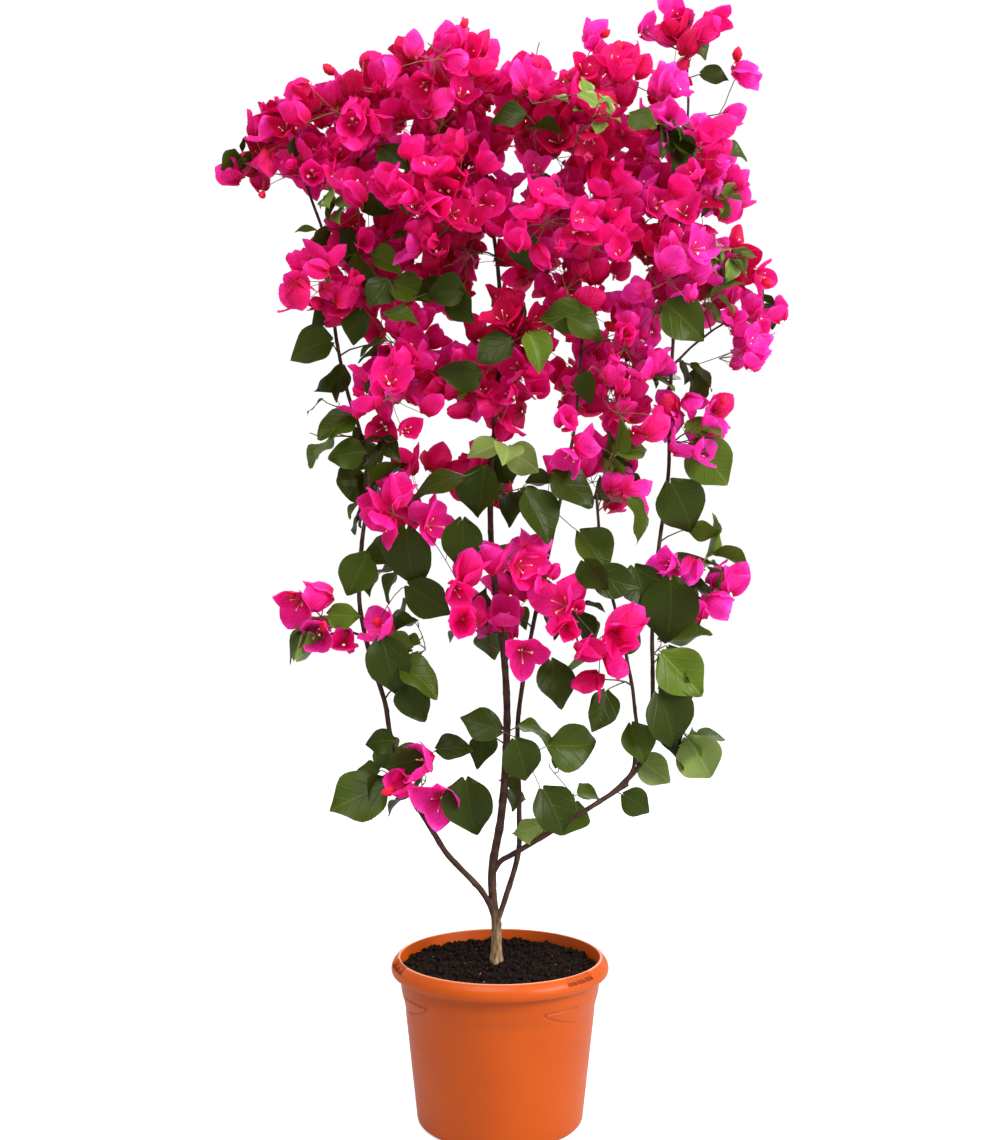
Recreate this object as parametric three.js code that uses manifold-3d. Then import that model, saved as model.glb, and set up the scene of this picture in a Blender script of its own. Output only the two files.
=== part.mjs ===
// Bougainvillea bush in a round plastic nursery pot, as a three.js scene graph.
// Millimetres, +Z up. The origin is the centre of the pot's flat underside.
import * as THREE from 'three';
import { mergeVertices } from 'three/addons/utils/BufferGeometryUtils.js';
import Module from 'manifold-3d';

const wasm = await Module();
wasm.setup();

// ---- Driving dimensions -------------------------------------------------------------------
const GAP = 0.3; // clearance that keeps touching pieces apart

const POT = {
  height: 182,
  rimRadius: 120,
  rimDepth: 18,
  rimWall: 3,
  rimDrop: 7, // the rim slopes down this far from its lip to its outer edge
  rimBevel: 1,
  lipInset: 9, // the lip's highest edge lies this far inside the rim's outer edge
  slopeBreak: { inset: 4, drop: 1.5 }, // where the rim's top turns from nearly level to sloping
  underLip: { offset: 2, drop: 6 }, // the highest point of the hollow under the rim
  collarRadius: 110,
  collarDraft: 1.5, // the collar narrows this much towards its foot
  collarFoot: 140,
  shoulderFoot: 132,
  bodyRadius: 104.5,
  footRadius: 91,
  footBevel: 3,
  wall: 3,
  floor: 8,
  segments: 32,
};
const NOTCH = { count: 4, width: 29, height: 5, depth: 9 };
const SOIL = {
  edgeHeight: 169,
  edgeBevel: { width: 3, height: 1 },
  mound: 5,
  moundRadius: 26,
  apron: { spread: 2, height: 0.6 }, // the mound's foot, as shares of its radius and of its height
  segments: 28,
};

const TRUNK = { flareRadius: 8, flareHeight: 10, footRadius: 5.9, forkRadius: 5.1, spare: 8, lean: 0.5 };
const TRUNK_BEND = [-9, 0, 235];
const FORK_CUT = 1; // the trunk is cut level this far below the middle of its fork
const FOOT = new THREE.Vector3(-3, 0, SOIL.edgeHeight + SOIL.mound + GAP);

const TRUNK_SIDES = 10;
const TRUNK_STEPS = 10;
const LIMB_SIDES = 6;
const LIMB_STEP = 58; // length of one straight stretch of a limb
const MASS_DETAIL = 1;
const LARGE_MASS_DETAIL = 2;
const LARGE_MASS = 128; // a mass with a half width from here up gets the finer surface
const MASS_FULLNESS = 0.8; // below 1, a mass fills the corners of its box more than an egg does

// Where the main stems fork, as x, y, z.
const FORK = {
  innerRight: [-5, 0, 223],
  left: [-13, -1, 246],
  longRight: [-3, 0, 283],
  farRight: [143, -4, 373],
};

// Each limb bends through these points from its foot to its tip. Its radii are at the foot and the tip.
const LIMBS = {
  centre_stem: {
    through: [FORK.left, [-7, 2, 278], [1, 6, 325], [7, 10, 400], [8, 12, 480], [-6, 14, 590],
      [-12, 14, 680], [-4, 12, 780], [2, 8, 900], [-12, 4, 1010], [-18, 0, 1080]],
    radii: [5, 1.8],
  },
  left_bough: {
    through: [FORK.left, [-37, -6, 275], [-77, -10, 313], [-88, -10, 341], [-117, -8, 408]],
    radii: [3.4, 3],
  },
  right_inner_stem: {
    through: [FORK.innerRight, [14.6, 3, 246], [21, 8, 297], [21, 12, 360], [20, 18, 440],
      [36, 22, 540], [62, 24, 660], [84, 20, 770], [92, 14, 880]],
    radii: [3.2, 1.6],
  },
  right_long_bough: {
    through: [FORK.longRight, [19, -3, 294], [63, -8, 325], [108, -8, 351], FORK.farRight],
    radii: [3.1, 2.7],
  },
  right_outer_stem: {
    through: [FORK.farRight, [163, -4, 392], [168, -2, 460], [168, 0, 560], [176, 2, 640],
      [186, 4, 708], [187, 4, 790], [192, 2, 880]],
    radii: [2.6, 2],
  },
  right_fork_stem: {
    through: [FORK.farRight, [150, -12, 388], [147, -14, 463], [132, -16, 540], [112, -16, 620],
      [104, -14, 700]],
    radii: [2.2, 1.5],
  },
  left_outer_stem: {
    through: [[-117, -8, 408], [-126, -6, 461], [-145, -4, 517], [-156, 0, 580], [-151, 2, 652],
      [-142, 2, 714], [-158, 2, 770], [-178, 0, 840], [-184, 0, 925]],
    radii: [2.9, 2],
  },
  left_crown_bough: {
    through: [[-184, 0, 925], [-196, -2, 985], [-218, -4, 1040], [-246, -4, 1078]],
    radii: [1.9, 1.3],
  },
  right_crown_bough: {
    through: [[192, 2, 880], [198, 0, 960], [203, 0, 1060], [207, 0, 1120], [204, 0, 1178]],
    radii: [1.9, 1.3],
  },
  far_right_bough: {
    through: [[189, 4, 830], [222, 0, 862], [262, -4, 886]],
    radii: [1.5, 1],
  },
  left_spray_bough: {
    through: [[-151, -4, 534], [-166, -12, 540], [-192, -18, 551]],
    radii: [1.5, 1],
  },
  right_spray_bough: {
    through: [[175, 2, 630], [196, -4, 618], [226, -8, 606]],
    radii: [1.5, 1],
  },
  lower_right_bough: {
    through: [[167, -2, 425], [184, -6, 434], [200, -8, 440]],
    radii: [1.5, 1],
  },
};

// Each mass of leaves and bracts: the centre and the half sizes of its box, its lean in the upright
// plane in degrees, and whether it is mostly blossom or mostly green.
const MASSES = {
  top_left: { at: [-180, -8, 1092], half: [84, 112, 78], lean: -24, blossom: true },
  top_centre: { at: [-62, 0, 1120], half: [76, 132, 74], lean: -6, blossom: true },
  top_right: { at: [78, 6, 1118], half: [86, 130, 82], lean: 8, blossom: true },
  tip_left: { at: [-258, -4, 1078], half: [47, 58, 54], lean: 30, blossom: true },
  tip_right: { at: [222, 0, 1178], half: [76, 64, 68], lean: 24, blossom: true },
  heart_left: { at: [-62, -4, 992], half: [84, 146, 90], lean: -10, blossom: true },
  heart_right: { at: [80, 4, 976], half: [92, 148, 92], lean: 12, blossom: true },
  shoulder_left: { at: [-170, 0, 958], half: [66, 106, 88], lean: 6, blossom: true },
  shoulder_right: { at: [194, 0, 1050], half: [80, 112, 88], lean: -8, blossom: true },
  flank_right: { at: [208, -4, 922], half: [70, 92, 72], lean: 16, blossom: true },
  tip_far_right: { at: [268, -4, 886], half: [47, 54, 64], lean: 10, blossom: true },
  middle_left: { at: [-122, -4, 846], half: [74, 108, 78], lean: -14, blossom: true },
  middle_centre: { at: [-2, 0, 836], half: [70, 128, 84], lean: 6, blossom: true },
  middle_right: { at: [122, 4, 824], half: [78, 112, 86], lean: -6, blossom: true },
  edge_left: { at: [-200, 0, 806], half: [30, 44, 72], lean: 0, blossom: false },
  edge_right: { at: [218, 0, 776], half: [40, 54, 76], lean: 8, blossom: true },
  waist_left: { at: [-112, 0, 706], half: [68, 92, 72], lean: 12, blossom: false },
  waist_centre: { at: [-2, 4, 702], half: [58, 100, 68], lean: -8, blossom: false },
  waist_right: { at: [106, 4, 708], half: [64, 88, 54], lean: -10, blossom: true },
  right_spray: { at: [218, 0, 618], half: [54, 56, 72], lean: 14, blossom: true },
  lower_left: { at: [-106, -4, 562], half: [50, 78, 88], lean: -10, blossom: true },
  lower_centre: { at: [-8, -4, 562], half: [64, 92, 78], lean: 10, blossom: true },
  lower_right: { at: [102, -8, 522], half: [56, 82, 78], lean: -16, blossom: true },
  left_spray: { at: [-190, -16, 544], half: [56, 46, 46], lean: -14, blossom: true },
  right_low: { at: [192, -4, 498], half: [40, 54, 62], lean: 0, blossom: false },
  skirt_left: { at: [-100, -8, 382], half: [84, 66, 62], lean: 24, blossom: false },
  skirt_centre: { at: [-10, 8, 396], half: [44, 66, 72], lean: 0, blossom: false },
  skirt_right: { at: [66, 2, 384], half: [48, 60, 72], lean: -14, blossom: false },
  skirt_far_right: { at: [206, -8, 398], half: [38, 46, 44], lean: 30, blossom: false },
};

// ---- Finishes -----------------------------------------------------------------------------
const finish = (color, roughness) => new THREE.MeshStandardMaterial({ color, roughness, metalness: 0 });
const MATERIAL = {
  pot: finish(0xd8682c, 0.5),
  soil: finish(0x2a1a12, 1),
  bark: finish(0x4e3423, 0.85),
  blossom: finish(0xd61a6c, 0.8),
  leaf: finish(0x46632a, 0.7),
};

// ---- Solids: joining and cutting closed meshes ------------------------------------------------
function toSolid(geometry) {
  const bare = geometry.clone();
  bare.deleteAttribute('normal');
  bare.deleteAttribute('uv');
  const merged = mergeVertices(bare, 1e-3);
  return new wasm.Manifold(new wasm.Mesh({
    numProp: 3,
    vertProperties: new Float32Array(merged.attributes.position.array),
    triVerts: new Uint32Array(merged.index.array),
  }));
}

function toGeometry(solid) {
  const mesh = solid.getMesh();
  const geometry = new THREE.BufferGeometry();
  geometry.setAttribute('position', new THREE.BufferAttribute(new Float32Array(mesh.vertProperties), 3));
  geometry.setIndex(new THREE.BufferAttribute(new Uint32Array(mesh.triVerts), 1));
  geometry.computeVertexNormals();
  return geometry;
}

function largestPiece(solid) {
  const pieces = solid.decompose();
  return pieces.reduce((best, piece) => (piece.volume() > best.volume() ? piece : best));
}

function boxesMeet(a, b) {
  const one = a.boundingBox();
  const two = b.boundingBox();
  return [0, 1, 2].every((k) => one.min[k] < two.max[k] && two.min[k] < one.max[k]);
}

function cutClear(solid, cutters) {
  const near = cutters.filter((cutter) => boxesMeet(solid, cutter));
  return near.reduce((rest, cutter) => largestPiece(rest.subtract(cutter)), solid);
}

// ---- Pot and soil -------------------------------------------------------------------------
const lathePoint = ([radius, height]) => new THREE.Vector2(radius, height);

function bodyRadiusAt(height) {
  const share = (height - POT.footBevel) / (POT.shoulderFoot - POT.footBevel);
  return POT.footRadius + (POT.bodyRadius - POT.footRadius) * share;
}

function potProfile() {
  const rimFoot = POT.height - POT.rimDepth;
  const lip = POT.rimRadius - POT.lipInset;
  const collarFootRadius = POT.collarRadius - POT.collarDraft;
  const outside = [
    [0, 0],
    [POT.footRadius - POT.footBevel, 0],
    [POT.footRadius, POT.footBevel],
    [POT.bodyRadius, POT.shoulderFoot],
    [collarFootRadius, POT.collarFoot],
    [POT.collarRadius, rimFoot],
    [lip + POT.underLip.offset, POT.height - POT.underLip.drop],
    [POT.rimRadius - POT.rimWall, POT.height - POT.rimDrop - POT.rimWall],
    [POT.rimRadius - POT.rimWall, rimFoot],
    [POT.rimRadius, rimFoot + POT.rimBevel],
    [POT.rimRadius, POT.height - POT.rimDrop],
    [POT.rimRadius - POT.slopeBreak.inset, POT.height - POT.slopeBreak.drop],
  ];
  const inside = [
    [lip, POT.height],
    [POT.collarRadius - POT.wall, rimFoot],
    [collarFootRadius - POT.wall, POT.collarFoot],
    [POT.bodyRadius - POT.wall, POT.shoulderFoot],
    [bodyRadiusAt(POT.floor) - POT.wall, POT.floor],
    [0, POT.floor],
  ];
  return [...outside, ...inside].map(lathePoint);
}

// A LatheGeometry turns about Y, so the turned shape is stood up along Z.
function turned(profile, segments) {
  return new THREE.LatheGeometry(profile, segments).rotateX(Math.PI / 2);
}

function footNotch(index) {
  const notch = new THREE.BoxGeometry(NOTCH.depth * 2, NOTCH.width, NOTCH.height * 2);
  notch.translate(POT.footRadius, 0, 0);
  notch.rotateZ(Math.PI * 2 * (index / NOTCH.count) - Math.PI / 2);
  return notch;
}

function potSolid() {
  const notches = Array.from({ length: NOTCH.count }, (_, index) => toSolid(footNotch(index)));
  return notches.reduce((pot, notch) => pot.subtract(notch), toSolid(turned(potProfile(), POT.segments)));
}

// The pot is polygonal in plan, so the soil stays inside the flats between its corners.
function soilSolid() {
  const flats = Math.cos(Math.PI / POT.segments);
  const insideAt = (radius) => (radius - POT.wall) * flats - 2 * GAP;
  const top = SOIL.edgeHeight;
  const { edgeBevel, mound, moundRadius, apron } = SOIL;
  const profile = [
    [0, POT.floor + GAP],
    [insideAt(bodyRadiusAt(POT.floor)), POT.floor + GAP],
    [insideAt(POT.bodyRadius), POT.shoulderFoot],
    [insideAt(POT.collarRadius - POT.collarDraft), POT.collarFoot + 1],
    [insideAt(POT.collarRadius), POT.height - POT.rimDepth],
    [insideAt(POT.collarRadius), top - edgeBevel.height],
    [insideAt(POT.collarRadius) - edgeBevel.width, top],
    [moundRadius * apron.spread, top + mound * apron.height],
    [moundRadius, top + mound],
    [0, top + mound],
  ];
  return toSolid(turned(profile.map(lathePoint), SOIL.segments));
}

// ---- Trunk and limbs ----------------------------------------------------------------------
// A limb is a tapered cylinder bent along a smooth curve. Its widening is given as a function of the
// share of the way along, so that the trunk can flare at its foot.
function bentLimb(points, radiusAt, steps, sides) {
  const curve = new THREE.CatmullRomCurve3(points.map((p) => new THREE.Vector3(...p)));
  const frames = curve.computeFrenetFrames(steps);
  const limb = new THREE.CylinderGeometry(1, 1, 1, sides, steps);
  const position = limb.attributes.position;
  for (let i = 0; i < position.count; i += 1) {
    const step = Math.round((position.getY(i) + 0.5) * steps);
    const radius = radiusAt(step / steps);
    const across = new THREE.Vector3().crossVectors(frames.normals[step], frames.tangents[step]);
    const point = curve.getPointAt(step / steps)
      .addScaledVector(frames.normals[step], position.getX(i) * radius)
      .addScaledVector(across, position.getZ(i) * radius);
    position.setXYZ(i, point.x, point.y, point.z);
  }
  return limb;
}

function limbLength(points) {
  return new THREE.CatmullRomCurve3(points.map((p) => new THREE.Vector3(...p))).getLength();
}

function limbSolid({ through, radii }, extra = 0) {
  const [foot, tip] = radii;
  const steps = Math.max(3, Math.round(limbLength(through) / LIMB_STEP));
  return toSolid(bentLimb(through, (share) => foot + (tip - foot) * share + extra, steps, LIMB_SIDES));
}

// The trunk rises from its flat cut on the soil, with a root flare and a slight lean to the left.
// It is made a little too long at both ends and cut level.
function trunkSolid(extra = 0) {
  const { flareRadius, flareHeight, footRadius, forkRadius, spare, lean } = TRUNK;
  const through = [[FOOT.x, 0, FOOT.z - spare], [FOOT.x - lean, 0, FOOT.z + spare], FORK.innerRight,
    TRUNK_BEND, FORK.left];
  const length = limbLength(through);
  const radiusAt = (share) => {
    const flare = Math.exp(-((share * length - spare) / flareHeight));
    return footRadius + (forkRadius - footRadius) * share + (flareRadius - footRadius) * flare + extra;
  };
  const trunk = toSolid(bentLimb(through, radiusAt, TRUNK_STEPS, TRUNK_SIDES));
  const block = flareRadius * 4;
  const [x, y, z] = FORK.left;
  const below = new THREE.BoxGeometry(block, block, block).translate(FOOT.x, 0, FOOT.z - block / 2 - extra);
  const above = new THREE.BoxGeometry(block, block, block).translate(x, y, z - FORK_CUT + block / 2 + extra);
  return trunk.subtract(toSolid(below)).subtract(toSolid(above));
}

function allLimbs() {
  const clear = { trunk: trunkSolid(GAP) };
  const limbs = { trunk: trunkSolid() };
  for (const [name, limb] of Object.entries(LIMBS)) {
    const earlier = Object.values(clear);
    limbs[name] = cutClear(limbSolid(limb), earlier);
    clear[name] = limbSolid(limb, GAP);
  }
  return { limbs, clear: Object.values(clear) };
}

// ---- Masses of leaves and blossom -------------------------------------------------------------
const LUMPS = [
  { depth: 0.13, x: 2.1, y: 1.3, z: 2.7 },
  { depth: 0.1, x: -3.4, y: 2.6, z: 1.9 },
  { depth: 0.07, x: 5.1, y: -4.3, z: 3.2 },
];

function lumpiness(direction, seed) {
  return LUMPS.reduce((sum, { depth, x, y, z }, index) => {
    const phase = seed * (1.7 + index);
    return sum + depth * Math.sin(x * direction.x + y * direction.y + z * direction.z + phase);
  }, 1);
}

function massGeometry({ at, half, lean }, seed, extra = 0) {
  const detail = Math.max(...half) > LARGE_MASS ? LARGE_MASS_DETAIL : MASS_DETAIL;
  const geometry = new THREE.IcosahedronGeometry(1, detail);
  const position = geometry.attributes.position;
  const fuller = (share) => Math.sign(share) * Math.abs(share) ** MASS_FULLNESS;
  for (let i = 0; i < position.count; i += 1) {
    const direction = new THREE.Vector3().fromBufferAttribute(position, i);
    const lump = lumpiness(direction, seed);
    const [x, y, z] = direction.toArray().map((share, k) => fuller(share) * lump * half[k]);
    position.setXYZ(i, x, y, z);
  }
  geometry.rotateY(THREE.MathUtils.degToRad(lean));
  geometry.computeBoundingBox();
  const middle = geometry.boundingBox.getCenter(new THREE.Vector3());
  const spread = geometry.boundingBox.getSize(new THREE.Vector3());
  geometry.translate(-middle.x, -middle.y, -middle.z);
  geometry.scale(...[spread.x, spread.y, spread.z].map((side, k) => (2 * (half[k] + extra)) / side));
  return geometry.translate(...at);
}

function allMasses(limbCutters) {
  const masses = {};
  const clear = [...limbCutters];
  Object.entries(MASSES).forEach(([name, mass], seed) => {
    masses[name] = cutClear(toSolid(massGeometry(mass, seed)), clear);
    clear.push(toSolid(massGeometry(mass, seed, 2 * GAP)));
  });
  return masses;
}

// ---- The plant in its pot ---------------------------------------------------------------------
const bush = new THREE.Group();

function add(name, solid, material) {
  const mesh = new THREE.Mesh(toGeometry(solid), material);
  mesh.name = name;
  bush.add(mesh);
}

add('pot', potSolid(), MATERIAL.pot);
add('soil', soilSolid(), MATERIAL.soil);

const { limbs, clear } = allLimbs();
for (const [name, solid] of Object.entries(limbs)) {
  add(name, solid, MATERIAL.bark);
}
for (const [name, solid] of Object.entries(allMasses(clear))) {
  add(`mass_${name}`, solid, MASSES[name].blossom ? MATERIAL.blossom : MATERIAL.leaf);
}

export default bush;
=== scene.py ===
"""Bougainvillea bush in an orange nursery pot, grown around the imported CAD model. Metres, +Z up."""
import math

import bpy
import numpy as np
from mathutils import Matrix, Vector
from mathutils.bvhtree import BVHTree


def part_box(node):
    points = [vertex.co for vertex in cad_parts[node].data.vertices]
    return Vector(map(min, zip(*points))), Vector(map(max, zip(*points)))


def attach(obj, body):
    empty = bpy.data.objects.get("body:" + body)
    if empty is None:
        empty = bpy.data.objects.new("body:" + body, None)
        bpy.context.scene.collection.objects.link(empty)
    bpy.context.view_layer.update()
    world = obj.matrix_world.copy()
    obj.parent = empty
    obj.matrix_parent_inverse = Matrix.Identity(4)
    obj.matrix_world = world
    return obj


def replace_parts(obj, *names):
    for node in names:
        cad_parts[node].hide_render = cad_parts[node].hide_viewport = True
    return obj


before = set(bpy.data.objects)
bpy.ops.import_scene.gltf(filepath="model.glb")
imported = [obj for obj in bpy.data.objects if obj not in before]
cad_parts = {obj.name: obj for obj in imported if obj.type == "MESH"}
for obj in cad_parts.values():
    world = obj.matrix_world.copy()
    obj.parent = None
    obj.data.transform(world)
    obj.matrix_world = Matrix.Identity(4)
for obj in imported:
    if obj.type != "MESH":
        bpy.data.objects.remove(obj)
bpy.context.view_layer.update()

# ---- Driving sizes, in metres ----
SEED = 21
FULL_TURN = 2 * math.pi
POT_LOW, POT_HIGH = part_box("pot")
SOIL_LOW, SOIL_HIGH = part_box("soil")
RIM_RADIUS = POT_HIGH.x
POT_HEIGHT = POT_HIGH.z
SOIL_TOP = SOIL_HIGH.z

LIMB_PARENTS = {  # each limb and the one it springs from, in the order they grow
    "trunk": None,
    "centre_stem": "trunk",
    "left_bough": "trunk",
    "right_inner_stem": "trunk",
    "right_long_bough": "centre_stem",
    "right_outer_stem": "right_long_bough",
    "right_fork_stem": "right_long_bough",
    "left_outer_stem": "left_bough",
    "left_crown_bough": "left_outer_stem",
    "right_crown_bough": "right_outer_stem",
    "far_right_bough": "right_outer_stem",
    "left_spray_bough": "left_outer_stem",
    "right_spray_bough": "right_outer_stem",
    "lower_right_bough": "right_outer_stem",
}

# How each mass is furnished: flowering sprays, leafy sprays, and how large its leaves are.
MASSES = {
    "mass_top_left": (12, 0, 0.7), "mass_top_centre": (12, 0, 0.7), "mass_top_right": (14, 0, 0.7),
    "mass_tip_left": (4, 1, 0.6), "mass_tip_right": (1, 0, 0.6),
    "mass_heart_left": (13, 0, 0.65), "mass_heart_right": (13, 0, 0.65),
    "mass_shoulder_left": (8, 1, 0.7), "mass_shoulder_right": (9, 1, 0.7),
    "mass_flank_right": (7, 2, 0.7), "mass_tip_far_right": (2, 1, 0.7),
    "mass_middle_left": (6, 1, 0.65), "mass_middle_centre": (6, 0, 0.65), "mass_middle_right": (7, 1, 0.65),
    "mass_edge_left": (0, 2, 0.8), "mass_edge_right": (1, 2, 0.8),
    "mass_waist_left": (1, 3, 0.8), "mass_waist_centre": (1, 3, 0.8), "mass_waist_right": (1, 3, 0.8),
    "mass_right_spray": (0, 2, 0.9),
    "mass_lower_left": (0, 3, 0.85), "mass_lower_centre": (1, 2, 0.85), "mass_lower_right": (0, 2, 0.85),
    "mass_left_spray": (0, 1, 0.9), "mass_right_low": (0, 2, 1.0),
    "mass_skirt_left": (0, 2, 0.9), "mass_skirt_centre": (0, 2, 0.9), "mass_skirt_right": (0, 2, 0.9),
    "mass_skirt_far_right": (0, 1, 0.9),
}
GREEN_MASSES = tuple("mass_" + place for place in (
    "edge_left", "waist_left", "waist_centre", "right_low", "skirt_left", "skirt_centre", "skirt_right",
    "skirt_far_right"))
# Sprays that stand out one by one in the photo, most of them below the crown and at its top right tip:
# millimetres across, back and up, the number of flowers, and how far they spread.
SHOWN_SPRAYS = (
    (-118, -60, 668, 3, 20), (-84, -40, 655, 2, 18),
    (8, -50, 622, 3, 22), (44, -40, 604, 3, 20),
    (-42, -60, 590, 2, 18), (-40, -50, 556, 3, 24), (24, -56, 524, 1, 14),
    (80, -50, 562, 4, 26), (112, -60, 540, 4, 26), (106, -46, 492, 1, 8),
    (-220, -10, 576, 1, 8), (-190, -14, 580, 1, 8), (-198, -10, 532, 1, 10), (-172, -12, 536, 1, 8),
    (-134, -20, 548, 1, 12), (206, -14, 612, 2, 14), (246, -10, 588, 3, 22), (218, -8, 560, 1, 8),
    (-104, -30, 376, 2, 14), (-68, -34, 364, 1, 8), (-80, -30, 400, 1, 6),
    (130, -20, 686, 2, 20), (84, -40, 748, 3, 24), (238, -10, 784, 1, 6), (206, 0, 792, 2, 16),
    (190, 0, 1204, 3, 18), (160, 0, 1200, 1, 6), (236, 0, 1208, 2, 14), (264, 0, 1152, 2, 16),
    (250, 6, 1112, 1, 8), (216, -20, 1190, 1, 8), (286, -4, 924, 1, 6), (258, -10, 868, 2, 14),
    (43, -8, 1182, 1, 6), (104, -10, 1186, 2, 10),
)

# Leaves that stand out one by one: millimetres across, back and up, length, the clock hour that the
# tip points to, and the tint.
SHOWN_LEAVES = (
    (200, -20, 675, 60, 5.0, 0), (232, -10, 722, 60, 4.6, 2), (184, -30, 560, 72, 6.0, 0),
    (198, -20, 491, 62, 4.6, 2), (184, -26, 444, 62, 5.2, 0), (221, -10, 398, 56, 4.9, 3),
    (189, -12, 406, 44, 4.5, 0), (150, -20, 417, 44, 5.4, 1), (172, 4, 384, 44, 4.2, 3),
    (226, 0, 650, 36, 3.2, 2), (43, -50, 664, 60, 5.0, 0), (-40, -50, 634, 52, 6.0, 0),
    (-100, -50, 618, 64, 6.0, 0), (-155, -24, 600, 50, 6.8, 1), (-75, -40, 575, 54, 4.1, 0),
    (-118, -50, 505, 60, 5.4, 0), (-84, -36, 490, 52, 4.0, 1), (-92, -30, 462, 46, 5.5, 0),
    (-22, -30, 439, 46, 9.5, 0), (24, -50, 402, 48, 5.4, 0), (44, -10, 430, 46, 3.4, 2),
    (82, -24, 414, 54, 3.2, 1), (-34, -40, 350, 60, 5.8, 0), (60, -36, 346, 54, 5.0, 0),
    (-156, -20, 358, 64, 8.2, 1), (-102, -24, 397, 46, 8.6, 0), (-50, -10, 414, 38, 2.6, 0),
    (-222, -10, 530, 50, 7.4, 1), (-170, -20, 556, 34, 3.2, 2), (-66, -50, 704, 54, 8.8, 0),
    (80, -40, 694, 56, 4.2, 0), (-168, -16, 733, 42, 8.8, 1), (-180, -16, 762, 48, 8.0, 1),
    (-208, -8, 852, 46, 8.6, 1), (-184, -10, 812, 40, 7.0, 0), (154, -20, 586, 50, 5.4, 0),
    (110, -24, 452, 46, 6.4, 0), (60, -40, 484, 52, 5.6, 0), (99, -54, 600, 38, 5.0, 0),
    (124, -44, 594, 48, 3.6, 0), (104, -30, 628, 52, 4.6, 1), (32, -10, 322, 40, 8.4, 3),
    (198, -46, 873, 54, 4.4, 1), (46, -60, 1006, 38, 6.0, 0), (-8, -60, 840, 44, 8.0, 0),
    (-58, -64, 902, 38, 9.0, 0), (-104, -66, 874, 36, 3.4, 1), (-130, -50, 1000, 36, 4.0, 0),
    (-92, -50, 962, 38, 3.2, 1), (150, -50, 662, 46, 5.0, 1), (-20, -30, 690, 54, 6.2, 0),
    (150, -16, 352, 34, 4.0, 0), (-132, -16, 420, 32, 9.0, 0),
    (-164, -50, 952, 34, 6.4, 0), (-146, -54, 926, 36, 5.2, 1), (-120, -50, 938, 34, 3.6, 2),
    (-96, -54, 908, 42, 3.4, 1), (-128, -56, 900, 36, 7.0, 0), (-72, -50, 906, 40, 3.0, 0),
    (-40, -56, 886, 42, 4.6, 0), (-156, -40, 868, 38, 6.6, 0), (-190, -30, 884, 34, 8.2, 0),
    (-140, -50, 1050, 34, 7.6, 0), (-112, -54, 1042, 38, 4.4, 0), (8, -84, 1080, 36, 8.8, 0),
    (56, -84, 1066, 34, 3.2, 0), (150, -70, 1078, 32, 4.0, 1), (26, -54, 946, 36, 5.6, 0),
    (68, -50, 876, 46, 8.4, 1), (92, -50, 868, 42, 3.8, 1), (40, -60, 840, 40, 5.0, 2),
    (196, -50, 1054, 32, 4.2, 0), (-42, -60, 812, 42, 8.6, 0), (92, -50, 800, 34, 6.2, 0),
    (219, 0, 1180, 28, 4.8, 1), (236, 0, 1150, 30, 3.2, 0), (262, 20, 1072, 28, 3.2, 1),
    (206, 0, 1212, 20, 2.0, 0),
)

# Where the photo shows sky through the bush or beside it: millimetres across and up, and the radius.
SKY_GAPS = (
    (-106, 1108, 17), (-196, 1094, 20), (-176, 1104, 12), (-148, 1116, 9), (-12, 944, 24), (30, 968, 12),
    (46, 774, 24), (-82, 784, 16), (-64, 792, 10), (152, 1112, 12), (216, 1120, 26), (130, 880, 12),
    (252, 870, 16), (-148, 828, 10), (-235, 1170, 46), (-325, 1100, 50), (-190, 1178, 36), (-158, 1184, 28),
    (-262, 1012, 30), (66, 1182, 34), (20, 1188, 22), (-80, 1226, 36), (-240, 785, 30), (252, 1112, 14),
    (236, 1156, 8), (124, 650, 34), (92, 654, 18), (-20, 664, 9), (-70, 610, 12), (-84, 544, 14),
    (-50, 500, 32), (-84, 430, 12), (-24, 480, 16), (84, 382, 18), (-60, 458, 14), (118, 404, 14),
    (-10, 372, 12), (-152, 560, 12), (-20, 1118, 8), (232, 830, 16), (246, 1030, 14), (-206, 960, 12),
)

# Young shoots with small cream-edged leaves: millimetres across, back and up.
YOUNG_SHOOTS = (
    (112, -112, 1072), (86, -116, 1090), (258, -30, 944), (226, -44, 956), (190, -50, 1086),
    (30, -118, 1086), (-180, -70, 1006), (-86, 60, 1120), (60, 110, 1010), (-60, 100, 960), (250, 20, 1020),
)

CAMERA_DISTANCE = 1.6
CAMERA_HEIGHT = 0.624
CAMERA_LENS = 45.9  # millimetres, on a sensor 36 mm wide
CAMERA_DIP = 0.63  # degrees below level

LEAF_LENGTH = 0.050
YOUNG_LEAF_LENGTH = 0.024
BRACT_LENGTH = 0.038
CROWN_BRACT_LENGTH = 0.0305  # the crown's flowers are smaller than the few low ones
CROWN_HEIGHT = 0.72
TWIG_RADIUS = 0.0015
TWIG_TIP = 0.0006
LEAF_STALK_RADIUS = 0.0011
SPRAY_SPREAD = 0.038
MILLIMETRE = 0.001


# ---- Small vector tools ----
def unit(v):
    v = np.asarray(v, float)
    return v / max(np.linalg.norm(v), 1e-9)


def mixed(a, b, share):
    return unit(np.asarray(a) * (1 - share) + np.asarray(b) * share)


def across(v):
    """A unit vector at right angles to v."""
    helper = np.array([0.0, 0, 1]) if abs(v[2]) < 0.9 else np.array([1.0, 0, 0])
    return unit(np.cross(v, helper))


def jitter(rng, amount):
    return rng.normal(0, amount, 3)


def up(rise):
    return np.array([0, 0, rise])


def sizes(vectors):
    return np.linalg.norm(vectors, axis=1)


def lengths_along(path):
    """The distance along the path to each of its points."""
    return np.concatenate([[0], np.cumsum(sizes(np.diff(path, axis=0)))])


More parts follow.
